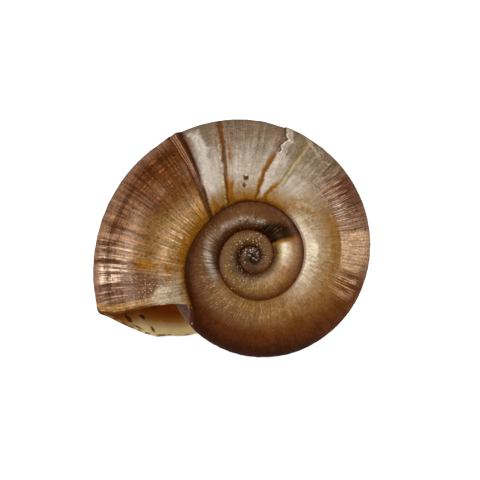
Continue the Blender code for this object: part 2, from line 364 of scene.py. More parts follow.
class ShellSurface:
    """The mesh. Row r of one turn and row r of the next share their seams, so nothing overlaps."""

    def __init__(self):
        self.per_turn = ROWS_PER_TURN
        self.last = TURNS * self.per_turn
        self.near = NEAR_COLUMNS
        self.far = NEAR_COLUMNS + MIDDLE_COLUMNS
        self.columns = self.far + FAR_COLUMNS
        self.hollow_row = round(self.last - HOLLOW_TURNS * self.per_turn)
        spread = 1 - 2 * FIRST_MIDDLE_SHARE
        steps = MIDDLE_COLUMNS - 2
        self.middle_shares = [0.0]
        self.middle_shares += [FIRST_MIDDLE_SHARE + spread * n / steps for n in range(steps + 1)]
        self.middle_shares += [1.0]
        self.points = []
        self.faces = []
        self.corners = []
        self.paints = []
        self.outer = {}
        self.inner = {}
        self.facts = {}

    def growth(self, row):
        """Degrees of the row, 0 at the lip and less before it."""
        return (row - self.last) * FULL_TURN / self.per_turn

    def point(self, degrees, radius, height):
        angle = math.radians(LIP_ANGLE + degrees)
        self.points.append((radius * math.cos(angle), radius * math.sin(angle), height))
        return len(self.points) - 1

    def across(self, turn, column):
        near_seam, far_seam = seam_across(turn, 1), seam_across(turn, -1)
        if column <= self.near:
            return near_seam * column / self.near
        if column <= self.far:
            return blend(near_seam, far_seam, self.middle_shares[column - self.near])
        return blend(far_seam, 4.0, (column - self.far) / FAR_COLUMNS)

    def lean(self, row, column):
        """Degrees by which a vertex runs ahead of its row, so that the last row is the lip."""
        growth = self.growth(row)
        if growth > -ADVANCE_DEGREES:
            across = self.across(growth / FULL_TURN, column)
            ahead = through(LIP_ADVANCE, across) * (1 + growth / ADVANCE_DEGREES)
            inland = clamp(min(column, self.columns - column) / 6)
            chip = LIP_CHIP_DEGREES * ridge_noise(across * 4, 0.0, 2.0) * inland
            return ahead + chip * clamp(1 + growth / LIP_CHIP_REACH)
        along = growth + FULL_TURN
        if along <= -ADVANCE_DEGREES or along >= SMOOTH_OUT_DEGREES:
            return 0.0
        ramp = 1 + along / ADVANCE_DEGREES if along < 0 else 1 - along / SMOOTH_OUT_DEGREES
        near_end, far_end = LIP_ADVANCE[0][1], LIP_ADVANCE[-1][1]
        if column <= self.near:
            ahead = near_end * column / self.near
        elif column <= self.far:
            ahead = blend(near_end, far_end, (column - self.near) / (self.far - self.near))
        else:
            ahead = far_end * (self.columns - column) / FAR_COLUMNS
        return ahead * ramp

    def make_vertices(self):
        tops = {side: self.point(0.0, *apex(side)) for side in (1, -1)}
        for row in range(self.last + 1):
            for column in range(self.columns + 1):
                degrees = self.growth(row) + self.lean(row, column)
                turn = degrees / FULL_TURN
                across = self.across(turn, column)
                band = band_at(turn, across)
                key = row, column
                cover = self.cover(row, turn, across)
                inside = self.inside(row, column)
                line = growth_line(-degrees, band)
                self.facts[key] = (line, across, band, -self.growth(row), inside, cover)
                if row == 0 or (row <= self.per_turn and column in (0, self.columns)):
                    self.outer[key] = tops[1 if column <= self.near else -1]
                elif column == 0:
                    self.outer[key] = self.outer[row - self.per_turn, self.near]
                elif column == self.columns:
                    self.outer[key] = self.outer[row - self.per_turn, self.far]
                else:
                    self.outer[key] = self.face_point(degrees, turn, across, band, -self.growth(row))
                if row < self.hollow_row:
                    continue
                if column == 0:
                    self.inner[key] = self.outer[row - self.per_turn, self.near + 1]
                elif column == self.columns:
                    self.inner[key] = self.outer[row - self.per_turn, self.far - 1]
                else:
                    self.inner[key] = self.face_point(degrees, turn, across, band)

    def face_point(self, degrees, turn, across, band, lip=None):
        """A vertex on the outer face, given its degrees back from the lip, or else on the inner face."""
        radius, height = section_point(turn, across)
        out_r, out_z = outward(turn, across)
        if lip is not None:
            angle = math.radians(degrees)
            spot = Vector((radius * math.cos(angle), radius * math.sin(angle), height))
            off = relief(-degrees, lip, band, across, turn, spot)
        else:
            off = -wall(turn)
        return self.point(degrees, radius + out_r * off, height + out_z * off)

    def inside(self, row, column):
        """1 where the outer face of a whorl lines the mouth of the next, fading out past the lip."""
        past_lip = self.growth(row) + FULL_TURN
        if column <= self.near or column >= self.far:
            return 0.0
        return clamp(1 - past_lip / CALLUS_DEGREES) if past_lip > -HOLLOW_TURNS * FULL_TURN else 0.0

    def cover(self, row, turn, across):
        """How near a place on the outer face is to the edge of the next whorl, 1 at that edge."""
        if row + self.per_turn >= self.last:
            return 0.0
        side = 1 if across <= 2 else -1
        reach = 2 - side * (2 - seam_across(turn, side))
        return clamp((across if side > 0 else 4 - across) / reach)

    def quad(self, row, column, inner):
        """Adds a face of the outer or the inner surface, without the corners that fall together."""
        corners = [(row, column), (row + 1, column), (row + 1, column + 1), (row, column + 1)]
        if inner:
            corners[1], corners[3] = corners[3], corners[1]
        vertices = self.inner if inner else self.outer
        facts = {}
        for corner in corners:
            fact = self.facts[corner]
            facts.setdefault(vertices[corner], (*fact[:4], 1.0, 0.0) if inner else fact)
        if len(facts) < 3:
            return
        line = next(iter(facts.values()))[0]
        outer_paint = INNER_WHORLS if line > INNER_WHORLS_FROM else LAST_WHORL
        self.add_face(list(facts), facts.values(), LINING if inner else outer_paint)

    def add_face(self, indices, facts, paint):
        self.faces.append(indices)
        self.corners.extend(facts)
        self.paints.append(paint)

    def covered(self, row, column):
        """Whether the next whorl, its wall or its filled part, hides this face."""
        above = row + self.per_turn
        if above >= self.last or not self.near <= column < self.far:
            return False
        return above < self.hollow_row or column in (self.near, self.far - 1)

    def make_faces(self):
        for row in range(self.last):
            for column in range(self.columns):
                if not self.covered(row, column):
                    self.quad(row, column, inner=False)
        for row in range(self.hollow_row, self.last):
            for column in range(self.columns):
                self.quad(row, column, inner=True)

    def make_rim(self):
        """The lip's edge, rounded by one ring of vertices between its two faces."""
        row = self.last
        ring = {}
        for column in range(1, self.columns):
            a = Vector(self.points[self.outer[row, column]])
            b = Vector(self.points[self.inner[row, column]])
            before = Vector(self.points[self.outer[row - 1, column]])
            forward = (a - before).normalized()
            self.points.append(tuple((a + b) / 2 + forward * RIM_ROUNDING))
            ring[column] = len(self.points) - 1
        for column in range(self.columns):
            a, d = self.outer[row, column], self.inner[row, column]
            b, c = self.outer[row, column + 1], self.inner[row, column + 1]
            m0, m1 = ring.get(column), ring.get(column + 1)
            for loop, paint in (([a, m0, m1, b], LAST_WHORL), ([m0, d, c, m1], LINING)):
                corners = [index for index in loop if index is not None]
                if len(set(corners)) < 3:
                    continue
                facts = []
                for index in corners:
                    at = column if index in (a, d, m0) else column + 1
                    inside = 1.0 if index in (c, d) else 0.0
                    facts.append((*self.facts[row, at][:4], inside, 0.0))
                self.add_face(corners, facts, paint)

    def close_hollow(self):
        """The blind end of the hollow: a low cone onto the wall's face and the whorl before."""
        row = self.hollow_row
        before = row - self.per_turn
        loop = [self.inner[row, column] for column in range(self.columns + 1)]
        loop += [self.outer[before, column] for column in range(self.far - 2, self.near + 1, -1)]
        centre = sum((Vector(self.points[index]) for index in loop), Vector()) / len(loop)
        angle = math.radians(LIP_ANGLE + self.growth(row))
        centre += Vector((math.sin(angle), -math.cos(angle), 0.0)) * HOLLOW_END_DEPTH
        self.points.append(tuple(centre))
        tip = len(self.points) - 1
        facts = (-self.growth(row), 2.0, 1.0, -self.growth(row), 1.0, 0.0)
        for n, index in enumerate(loop):
            self.add_face([index, loop[n - 1], tip], [facts] * 3, LINING)

    def to_object(self, low, high):
        """The mesh as an object that fits the box from low to high."""
        self.make_vertices()
        self.make_faces()
        self.make_rim()
        self.close_hollow()
        used = sorted({index for face in self.faces for index in face})
        renumbered = {index: n for n, index in enumerate(used)}
        points = [Vector(self.points[index]) for index in used]
        least = Vector([min(p[axis] for p in points) for axis in range(3)])
        most = Vector([max(p[axis] for p in points) for axis in range(3)])
        scale = min((high[axis] - low[axis]) / (most[axis] - least[axis]) for axis in range(3))
        middle = (least + most) / 2
        target = (low + high) / 2
        base = Vector((middle.x, middle.y, least.z))
        goal = Vector((target.x, target.y, low.z))
        points = [(p - base) * scale + goal for p in points]
        mesh = bpy.data.meshes.new("snail_shell")
        mesh.from_pydata(points, [], [[renumbered[index] for index in face] for face in self.faces])
        coil = mesh.attributes.new("coil", "FLOAT_VECTOR", "CORNER")
        coil.data.foreach_set("vector", [value for corner in self.corners for value in corner[:3]])
        lining = mesh.attributes.new("lining", "FLOAT_VECTOR", "CORNER")
        lining.data.foreach_set("vector", [value for corner in self.corners for value in corner[3:]])
        mesh.polygons.foreach_set("material_index", self.paints)
        mesh.validate()
        mesh.shade_smooth()
        mesh.set_sharp_from_angle(angle=math.radians(CREASE_DEGREES))
        return bpy.data.objects.new("snail_shell", mesh)


def srgb(red, green, blue):
    """A colour as it looks on screen, in 0 to 255, made linear."""
    linear = []
    for value in (red, green, blue):
        share = value / 255
        linear.append(share / 12.92 if share <= 0.04045 else ((share + 0.055) / 1.055) ** 2.4)
    return (*linear, 1.0)


def connect(socket, value):
    """Gives the socket a constant, or links it to a value."""
    if isinstance(value, Value):
        socket.id_data.links.new(value.socket, socket)
    else:
        socket.default_value = value


def add_node(tree, kind, inputs, output=0, **settings):
    """An output of a new node. The inputs go by the names or numbers of their sockets."""
    node = tree.nodes.new("ShaderNode" + kind)
    for name, setting in settings.items():
        setattr(node, name, setting)
    for name, value in inputs.items():
        connect(node.inputs[name], value)
    return Value(node.outputs[output])


def mix(share, a, b):
    """Colour a where the share is 0, and colour b where it is 1."""
    return share.node("Mix", {"Factor": share, 6: a, 7: b}, 2, data_type="RGBA")


class Value:
    """A number, a colour or a place in the shader. Arithmetic on it adds the nodes that work it out."""

    def __init__(self, socket):
        self.socket = socket

    def node(self, kind, inputs, output=0, **settings):
        return add_node(self.socket.id_data, kind, inputs, output, **settings)

    def math(self, operation, *values):
        return self.node("Math", dict(enumerate(values)), operation=operation)

    def __add__(self, other):
        return self.math("ADD", self, other)

    def __radd__(self, other):
        return self.math("ADD", other, self)

    def __sub__(self, other):
        return self.math("SUBTRACT", self, other)

    def __rsub__(self, other):
        return self.math("SUBTRACT", other, self)

    def __mul__(self, other):
        return self.math("MULTIPLY", self, other)

    def __pow__(self, exponent):
        return self.math("POWER", self, exponent)

    def __abs__(self):
        return self.math("ABSOLUTE", self)

    def at_least(self, other):
        return self.math("MAXIMUM", self, other)

    def at_most(self, other):
        return self.math("MINIMUM", self, other)

    def sine(self):
        return self.math("SINE", self)

    def square(self):
        return self * self

    def centred(self, size):
        """A noise of 0 to 1 as a swing of the given size about 0."""
        return (self - 0.5) * size

    def step(self, low, high):
        """0 below low, 1 above high, smooth between them."""
        inputs = {"Value": self, "From Min": low, "From Max": high}
        return self.node("MapRange", inputs, "Result", interpolation_type="SMOOTHSTEP")

    def below(self, low, high):
        """1 below low, 0 above high, smooth between them."""
        return 1 - self.step(low, high)

    def window(self, low, high, soft):
        """1 between low and high, with soft borders."""
        half = soft / 2
        return (self - low).step(-half, half) - (self - high).step(-half, half)

    def bell(self, middle, half_width):
        """1 at the middle, falling to 0 at half_width on both sides."""
        return abs(self - middle).below(0, half_width)

    def hump(self, middle, half_width):
        """The same bell curve as in the mesh's relief."""
        off = (self - middle) * (1 / half_width)
        return self.math("EXPONENT", off.square() * -1)

    def ramp(self, *stops):
        """A colour that runs through the stops, each a position and a colour."""
        colour = self.node("ValToRGB", {"Fac": self}, "Color")
        elements = colour.socket.node.color_ramp.elements
        elements.remove(elements[1])
        elements[0].position, elements[0].color = stops[0]
        for position, stop in stops[1:]:
            elements.new(position).color = stop
        return colour

    def brighten(self, value):
        return self.node("HueSaturation", {"Color": self, "Value": value}, "Color")

    def parts(self):
        first = self.node("SeparateXYZ", {0: self})
        return [Value(output) for output in first.socket.node.outputs]

    def stretch(self, *scale):
        return self.node("Mapping", {"Vector": self, "Scale": scale}, "Vector")

    def noise(self, scale, detail, roughness=0.5):
        inputs = {"Vector": self, "Scale": scale, "Detail": detail, "Roughness": roughness}
        return self.node("TexNoise", inputs, "Fac")

    def cells(self, spacing, feature):
        """Distance in a pattern of cells, in spacings."""
        inputs = {"Vector": self, "Scale": 1 / spacing}
        return self.node("TexVoronoi", inputs, "Distance", feature=feature)

    def dots(self, spacing, radius, share):
        """Scattered round dots, in metres. The share is that of the places that have one."""
        distance = self.cells(spacing, "F1")
        colour = Value(distance.socket.node.outputs["Color"])
        chosen = self.node("SeparateColor", {"Color": colour}).step(1 - share, 1.02 - share)
        return chosen * (distance * (spacing / radius)).below(0.5, 1.3)

    def network(self, spacing, width):
        """Thin lines between cells, in metres."""
        return (self.cells(spacing, "DISTANCE_TO_EDGE") * (spacing / width)).below(0.2, 1)


CREAM = srgb(196, 174, 140)
PALE_GREY = srgb(196, 180, 158)
BRIGHT_CREAM = srgb(255, 238, 208)
DULL_TAN = srgb(174, 148, 122)
SAND = srgb(192, 148, 98)
OCHRE = srgb(172, 116, 40)
LAVENDER_WHITE = srgb(212, 196, 180)
GREY_BROWN = srgb(134, 110, 86)
PALE_TAN = srgb(172, 138, 98)
TAN = srgb(154, 114, 66)
HONEY = srgb(148, 104, 52)
BROWN = srgb(134, 90, 50)
AMBER = srgb(152, 94, 12)
YELLOW_OLIVE = srgb(146, 120, 48)
RUSSET = srgb(110, 60, 20)
RED_BROWN = srgb(94, 46, 18)
DARK_BROWN = srgb(58, 24, 4)
SPOT_BROWN = srgb(92, 44, 4)
GOLD = srgb(206, 156, 92)
BLACK_BROWN = srgb(26, 12, 4)
PINK_BROWN = srgb(146, 106, 80)
PINK_TAN = srgb(182, 136, 98)
PINK_WHITE = srgb(228, 198, 168)
PEACH = srgb(228, 186, 146)
MAUVE_BROWN = srgb(118, 80, 58)
EARTH_BROWN = srgb(122, 84, 48)
OLIVE_BROWN = srgb(98, 66, 34)
OLIVE_TAN = srgb(168, 146, 88)
PALE_SPECK = srgb(226, 202, 160)
NUCLEUS_GREY = srgb(58, 42, 28)
MOUTH_CREAM = srgb(255, 228, 162)
MOUTH_AMBER = srgb(200, 128, 50)
MOUTH_DARK = srgb(164, 76, 6)
CALLUS = srgb(120, 92, 82)
GLOSS_TINT = srgb(255, 232, 204)

# Streaks: back at the outer edge, lean, power of the lean, half width, band from and to, strength, colour
STREAKS = [
    (127.7, 10.8, 1.3, 4.2, 0.10, 0.68, 1.0, LAVENDER_WHITE),
    (84.4, 15.0, 3.0, 4.2, 0.18, 0.93, 1.0, LAVENDER_WHITE),
    (83.5, 11.0, 2.2, 3.4, -0.1, 0.2, 0.95, AMBER),
    (93.4, 11.1, 2.2, 3.6, -0.1, 0.2, 0.8, YELLOW_OLIVE),
    (96.2, 11.1, 2.2, 3.2, -0.1, 0.36, 0.9, AMBER),
    (95.6, 11.1, 2.2, 1.9, 0.0, 1.1, 0.95, RUSSET),
    (101.0, 13.0, 2.2, 3.6, -0.1, 0.3, 1.0, AMBER),
    (99.3, 11.1, 2.2, 1.3, 0.48, 0.72, 0.8, AMBER),
    (124.5, 12.5, 1.3, 2.6, -0.1, 0.64, 1.0, AMBER),
    (125.0, 12.5, 1.3, 1.3, 0.0, 0.66, 0.6, RUSSET),
    (146.0, 28.0, 1.3, 3.2, 0.0, 0.34, 1.0, AMBER),
    (135.5, 8.8, 1.3, 1.3, 0.26, 0.95, 0.8, YELLOW_OLIVE),
    (138.8, 8.8, 1.3, 1.1, 0.3, 0.8, 0.6, YELLOW_OLIVE),
    (137.0, 8.8, 1.3, 0.9, 0.26, 0.97, 0.5, CREAM),
    (133.4, -68.0, 1.0, 3.0, 0.86, 0.98, 0.8, CREAM),
    (143.0, 8.8, 1.3, 0.7, 0.3, 0.94, 0.4, CREAM),
    (18.6, 9.0, 2.0, 3.2, 0.1, 0.6, 0.8, AMBER),
    (18.2, 9.0, 2.0, 1.4, 0.5, 1.1, 0.8, RED_BROWN),
    (33.0, 9.0, 2.0, 1.1, 0.45, 1.0, 0.5, RED_BROWN),
    (48.0, 9.0, 2.0, 1.0, 0.3, 0.9, 0.4, DARK_BROWN),
    (185.0, 9.0, 2.0, 0.8, 0.55, 1.1, 0.7, RED_BROWN),
]

# Dark spots on the outer face: back, band, and the half widths in both
OUTER_SPOTS = [(105.1, 0.287, 2.0, 0.034), (103.5, 0.2, 1.6, 0.024), (185.8, 0.927, 0.6, 0.018)]

# Dark spots in the mouth: degrees in from the lip, band, and the half widths in both
MOUTH_SPOTS = [
    (7.7, 1.41, 1.3, 0.028),
    (3.6, 1.255, 1.6, 0.028),
    (3.1, 1.45, 1.5, 0.016),
    (1.4, 1.32, 0.6, 0.05),
]


class Paint:
    """Colour, gloss and fine relief of one part of the shell. A subclass gives the colours in paint().

    line is back along the growth lines, and back_raw is back itself. seen runs from a seam (0) to the outer
    edge (1). back and w are line and seen with ragged borders, for the edges between colours. Numbers beside
    line, back and lip are degrees, and those beside seen, band and w are shares of the whorl's width.
    """

    def __init__(self, name):
        self.material = bpy.data.materials.new(name)
        self.material.use_nodes = True
        tree = self.material.node_tree
        self.place = add_node(tree, "TexCoord", {}, "Object")
        self.coil = add_node(tree, "Attribute", {}, "Vector", attribute_name="coil")
        self.lining = add_node(tree, "Attribute", {}, "Vector", attribute_name="lining")
        self.line, _, self.band = self.coil.parts()
        self.lip, self.inside, self.cover = self.lining.parts()
        self.from_edge = abs(1 - self.band)
        self.seen = 1 - self.from_edge
        self.back_raw = self.line - self.from_edge.square() * LINE_CURVE
        self.blotch = self.place.noise(BLOTCH_SCALE, 3, 0.6)
        self.back = self.line + self.blotch.centred(8)
        self.w = self.seen + self.place.noise(BORDER_SCALE, 2).centred(0.1)
        self.grain = self.place.noise(GRAIN_SCALE, 2)
        self.mottle = self.place.noise(MOTTLE_SCALE, 4, 0.6)
        self.clouds = self.place.noise(CLOUD_SCALE, 3, 0.55)
        self.striae = self.stretched(0.85, 0.9, 3)
        self.fine_striae = self.stretched(2.6, 2.2, 2)
        self.spirals = self.stretched(0.06, 30, 2)
        self.broken = self.stretched(0.4, 9, 2)

    def stretched(self, along, over, detail):
        """A noise drawn out along the growth lines or along the coil."""
        return self.coil.stretch(along, over, 0).noise(1, detail, 0.6)

    def deep_brown(self):
        """Where the last whorl goes on into the one before."""
        return self.w.ramp((0.05, HONEY), (0.35, EARTH_BROWN), (0.6, RED_BROWN), (0.85, DARK_BROWN))

    def seams(self, colour):
        # Dark seam lines, and painted shade on a whorl's face beside the edge of the next whorl, which
        # overhangs it
        colour = mix(self.seen.below(0, 0.025) * 0.9, colour, DARK_BROWN)
        return mix(self.cover.step(0.72, 1) * 0.7, colour, RED_BROWN)

    def dust(self, colour, where):
        dots = self.place.dots(0.34 * MM, 0.05 * MM, 0.4)
        dots = dots * self.clouds.step(0.38, 0.58) * self.seen.below(0.3, 0.7)
        return mix(dots * where * 0.6, colour, PALE_SPECK)

    def strokes(self, colour, where):
        """Short thin pale strokes along the growth lines: painted glints."""
        strokes = self.striae.step(0.52, 0.6) * self.broken.step(0.46, 0.58)
        return mix(strokes * where, colour, PINK_WHITE)

    def spots(self, colour, along, spots):
        for middle, band, half_width, half_band in spots:
            off_along = (along - middle) * (1 / half_width)
            off_band = (self.band - band) * (1 / half_band)
            ragged = self.mottle.centred(2.5) + self.grain.centred(3.5)
            off = off_along.square() + off_band.square() + ragged
            colour = mix(off.below(0.2, 1.5) * 0.95, colour, SPOT_BROWN)
        return colour

    def shaded(self, colour, calm, spiral=0.25):
        """The colour with growth lines, spiral lines and grain, weaker where calm and spiral are under 1."""
        shade = self.striae.centred(2.2) + self.fine_striae.centred(1.4)
        shade += self.spirals.centred(1.1) * self.seen.step(0.4, 0.75) * spiral
        shade = shade * calm + self.mottle.centred(0.7)
        shade += self.grain.centred(1.4) * (0.3 + calm)
        return colour.brighten((1 + shade).at_least(0.25))

    def finish(self, colour, lines, gloss=0.24, coat=0.0, dull=0.0):
        """Sets the colour, and a gloss and a bump in which the growth lines are as strong as lines says."""
        surface = self.material.node_tree.nodes["Principled BSDF"]
        connect(surface.inputs["Base Color"], colour)
        connect(surface.inputs["Roughness"], ROUGHNESS + self.mottle.centred(0.2) + dull)
        surface.inputs["Specular IOR Level"].default_value = gloss
        surface.inputs["Specular Tint"].default_value = GLOSS_TINT
        surface.inputs["Coat Weight"].default_value = coat
        surface.inputs["Coat Roughness"].default_value = COAT_ROUGHNESS
        height = self.striae.centred(0.9) + self.fine_striae.centred(0.4)
        height = (height + self.spirals.centred(0.3)) * lines
        height += self.grain.centred(0.25)
        bump = {"Strength": 1, "Distance": BUMP_DEPTH, "Height": height}
        connect(surface.inputs["Normal"], height.node("Bump", bump, "Normal"))
        return self.material


class LastWhorlPaint(Paint):
    def __init__(self):
        super().__init__("last_whorl")
        self.drift = self.stretched(0.16, 1.6, 2)
        self.crazing = self.coil.stretch(0.3, 2.4, 0).network(1, 0.07)
        self.grooves = self.lining.stretch(1.7, 0, 0).noise(1, 2, 0.6)
        self.pale_lines = self.striae.step(0.5, 0.6)

    def last_stretch(self):
        """From the lip back to the rib: amber at the seam, honey, then russet, with pale frosted lines that
        are partly a painted sheen, and painted glints near the crest.
        """
        w, back = self.w, self.back
        by_seam = (0.02, AMBER), (0.1, OCHRE), (0.24, SAND)
        colour = w.ramp(*by_seam, (0.4, BROWN), (0.56, RUSSET), (0.8, RED_BROWN))
        light = w.ramp(*by_seam, (0.45, TAN), (0.66, PINK_TAN))
        colour = mix(back.below(16, 60) * self.clouds.step(0.3, 0.6), colour, light)
        olive = w.bell(0.38, 0.2) * self.clouds.step(0.52, 0.62)
        colour = mix(olive * 0.2, colour, YELLOW_OLIVE)
        by_rib = back.step(44, 70) * w.step(0.14, 0.44) * 0.75
        colour = mix(by_rib, colour, RUSSET)
        # Pale frosted growth lines on the outer slope, partly a painted sheen
        frost_and_sheen = w.step(0.42, 0.7) * back.below(14, 58) * self.pale_lines
        colour = mix(frost_and_sheen * (0.4 + self.spirals.step(0.4, 0.55)), colour, PINK_TAN)
        mauve = back.below(14, 22) * w.step(0.56, 0.66)
        colour = mix(mauve * 0.8, colour, MAUVE_BROWN)
        # Brighter pink-white lines near the lip: frosted lines with a painted sheen on them
        bright_frost_and_sheen = back.window(4, 25, 14) * w.window(0.6, 0.94, 0.08)
        bright_frost_and_sheen = bright_frost_and_sheen * self.broken.step(0.36, 0.5) * self.striae.step(0.5, 0.58)
        colour = mix(bright_frost_and_sheen, colour, PINK_WHITE)
        # Painted glints: short highlights on the growth lines near the crest
        glints = back.window(2, 66, 8) * self.w.bell(0.19, 0.12)
        glints = glints * self.striae.step(0.52, 0.58) * self.broken.step(0.42, 0.54)
        colour = mix(glints, colour, PINK_WHITE)
        lip = self.lip + self.blotch.centred(5)
        near_lip = lip.below(12, 20) * w.window(0.2, 0.66, 0.12)
        colour = mix(near_lip * 0.9, colour, MAUVE_BROWN)
        reach = 0.12 + lip.below(-1, 16) * 0.38
        flare = lip.below(12, 30) * w.window(0.06, reach, 0.12)
        colour = mix(flare * 0.9, colour, CREAM)
        colour = mix(self.seen.bell(0.84, 0.05) * 0.55, colour, DARK_BROWN)
        return mix(self.seen.step(0.88, 0.98) * 0.8, colour, PINK_BROWN)

    def pale_stretch(self):
        """Beyond the rib: cream and lavender grey, greyer to the outer edge, amber at the seam."""
        w = self.w
        by_seam = (0.02, RUSSET), (0.06, OCHRE), (0.15, PALE_TAN)
        colour = w.ramp(*by_seam, (0.3, PALE_GREY), (0.95, GREY_BROWN))
        light = self.drift.step(0.45, 0.65) * w.bell(0.45, 0.4) * 0.8
        colour = mix(light, colour, LAVENDER_WHITE)
        grey = self.clouds.step(0.45, 0.62) * w.step(0.55, 0.8) * 0.6
        colour = mix(grey, colour, GREY_BROWN)
        grid = self.spirals.step(0.5, 0.62) * w.step(0.6, 0.85) * 0.2
        return mix(grid, colour, MAUVE_BROWN)

    def right_side(self):
        """A sharp line parts a smooth, mottled inner band from a ribbed outer one."""
        w, back = self.w, self.back
        inner = w.ramp((0.05, BRIGHT_CREAM), (0.18, CREAM), (0.32, PALE_TAN), (0.44, HONEY))
        pale = w.ramp((0.04, TAN), (0.13, SAND), (0.28, CREAM), (0.45, DULL_TAN))
        inner = mix(back.below(152, 180), inner, pale)
        # Painted highlight: a bright cream strip along the seam at the lower end of this side
        painted_highlight_by_seam = back.step(182, 200) * w.window(0.02, 0.2, 0.06)
        inner = mix(painted_highlight_by_seam, inner, BRIGHT_CREAM)
        blotches = self.mottle.step(0.44, 0.58) * w.bell(0.24, 0.22)
        inner = mix(blotches * back.below(176, 200), inner, TAN)
        pale_blotches = self.mottle.step(0.56, 0.66) * w.bell(0.36, 0.14)
        inner = mix(pale_blotches * back.step(180, 200) * 0.8, inner, CREAM)
        outer = mix(self.pale_lines * 0.8, PINK_BROWN, PINK_TAN)
        outer = mix(back.step(180, 190) * 0.4, outer, PINK_TAN)
        outer = mix(back.step(180, 190) * back.below(202, 226) * 0.6, outer, PEACH)
        rusty = back.window(153, 184, 12)
        rust = self.striae.below(0.46, 0.56).at_least(w.step(0.68, 0.84))
        rust = rust * back.below(166, 182) * 0.5
        outer = mix(rusty * (0.35 + rust), outer, RED_BROWN)
        thin = rusty * self.fine_striae.step(0.57, 0.62) * w.below(0.72, 0.9)
        outer = mix(thin, outer, PINK_WHITE)
        outer = mix(self.seen.step(0.86, 0.98) * 0.5, outer, MAUVE_BROWN)
        edge = self.seen + self.mottle.centred(0.03)
        return mix(edge.step(0.545, 0.565), inner, outer)

    def lower_side(self):
        """Smooth, darkening along the coil and towards the outer edge."""
        w, back = self.w, self.back
        # The bright cream by the seam is partly the shell's own colour and partly a painted sheen
        by_seam = (0.05, BRIGHT_CREAM), (0.16, CREAM), (0.28, PALE_TAN)
        colour = w.ramp(*by_seam, (0.46, HONEY), (0.78, RUSSET))
        dark = w.ramp((0.05, TAN), (0.25, HONEY), (0.5, RUSSET), (0.7, RED_BROWN), (0.95, DARK_BROWN))
        colour = mix(back.step(216, 268), colour, dark)
        colour = mix(back.step(260, 310), colour, self.deep_brown())
        worn = self.clouds.step(0.42, 0.7) * w.bell(0.35, 0.32) * back.below(250, 310)
        colour = mix(worn * 0.3, colour, PALE_TAN)
        # Painted glints: bunches of short highlights on the outer slope's growth lines
        glints = back.window(200, 222, 12) * w.window(0.54, 0.86, 0.16)
        glints = glints * self.striae.step(0.49, 0.58) * self.broken.step(0.34, 0.46)
        colour = mix(glints * 0.85, colour, PEACH)
        # Painted glints as short pale strokes
        colour = self.strokes(colour, back.step(224, 250) * self.seen.bell(0.2, 0.3) * 0.35)
        return colour.brighten(1 + self.drift.centred(0.7))

    def streaks(self, colour):
        wander = self.place.noise(1100, 2).centred(1.4)
        for middle, lean, power, half_width, band_from, band_to, strength, streak in STREAKS:
            at = self.back_raw + self.from_edge**power * lean
            at += wander * (half_width + 0.7)
            reach = self.w.window(band_from, band_to, 0.14)
            off = abs(at - middle)
            mask = off.below(0.25 * half_width, 0.95 * half_width) * reach * strength
            colour = mix(mask, colour, streak)
        return colour

    def chalk(self, colour):
        """Broken chalky specks on the lip side of the darkest streak."""
        at = self.back_raw + self.from_edge**2.2 * 11.1
        broken = self.place.noise(2600, 2, 0.6).step(0.48, 0.56)
        mask = at.bell(93.6, 1.5) * broken * self.w.window(0.1, 0.75, 0.2)
        return mix(mask * 0.8, colour, PALE_SPECK)

    def rib(self, colour):
        """Russet with thin pale lines on its lip side, painted highlights on its ridges, and a dark band
        behind that thins towards the seam.
        """
        at = self.back_raw + self.from_edge**3 * RIB_LEAN
        at += self.blotch.centred(1.2)
        narrow = 1 + self.from_edge * 0.5
        at = (at - RIB_BACK) * narrow + RIB_BACK
        colour = mix(at.window(73, 80.8, 2.4) * 0.85, colour, RED_BROWN)
        wide = self.seen.step(0.35, 0.85) * 0.9
        colour = mix(at.window(78.2, 79.1 + wide, 0.9) * 0.9, colour, DARK_BROWN)
        # Painted highlights: thin pale lines on the rib's ridges
        for middle, half_width in ((77.1, 0.5), (76.1, 0.45), (75, 0.4)):
            pale = at.bell(middle, half_width) * self.seen.step(0.2, 0.6) * 0.7
            colour = mix(pale, colour, PINK_TAN)
        return mix(at.bell(74.2, 0.6) * 0.6, colour, DARK_BROWN)

    def flake(self, colour):
        """A dark crack, and the pale broken edge of the outer skin beside it, with a painted highlight along
        that edge and a painted shadow on the crack's lip side.
        """
        bulge = self.band.hump(FLAKE_BULGE_BAND, FLAKE_BULGE_WIDTH) * FLAKE_BULGE
        at = self.back_raw - bulge
        for size, rate in FLAKE_JAGS:
            at -= (self.band * rate).sine() * size
        on = self.band.window(FLAKE_BAND, 1.12, 0.04)
        ledge = at.window(FLAKE_BACK, FLAKE_BACK + 3.6, 1.4) * on
        colour = mix(ledge * 0.8, colour, PALE_GREY)
        # Painted highlight along the raised edge of the ledge
        colour = mix(at.bell(FLAKE_BACK + 0.9, 0.8) * on * 0.6, colour, BRIGHT_CREAM)
        fold = at.bell(FLAKE_BACK + 4.4, 1.2) * on
        colour = mix(fold * 0.5, colour, GREY_BROWN)
        # Painted shadow beside the crack
        shadow = at.window(FLAKE_BACK - 3.2, FLAKE_BACK - 0.2, 2.8) * on
        colour = mix(shadow * 0.5, colour, MAUVE_BROWN)
        return mix(at.bell(FLAKE_BACK - 0.2, 0.8) * on * 0.85, colour, DARK_BROWN)

    def worn_lip(self, colour):
        lip = self.lip + self.mottle.centred(3)
        worn = lip.below(2.2, 4.6) * self.w.step(0.3, 0.6)
        colour = mix(worn * 0.9, colour, HONEY)
        rind = worn * self.grooves.step(0.42, 0.56) * self.broken.step(0.36, 0.52)
        colour = mix(rind * 0.9, colour, GOLD)
        return mix(self.lip.below(0.4, 1.1) * self.w.step(0.3, 0.5), colour, RUSSET)

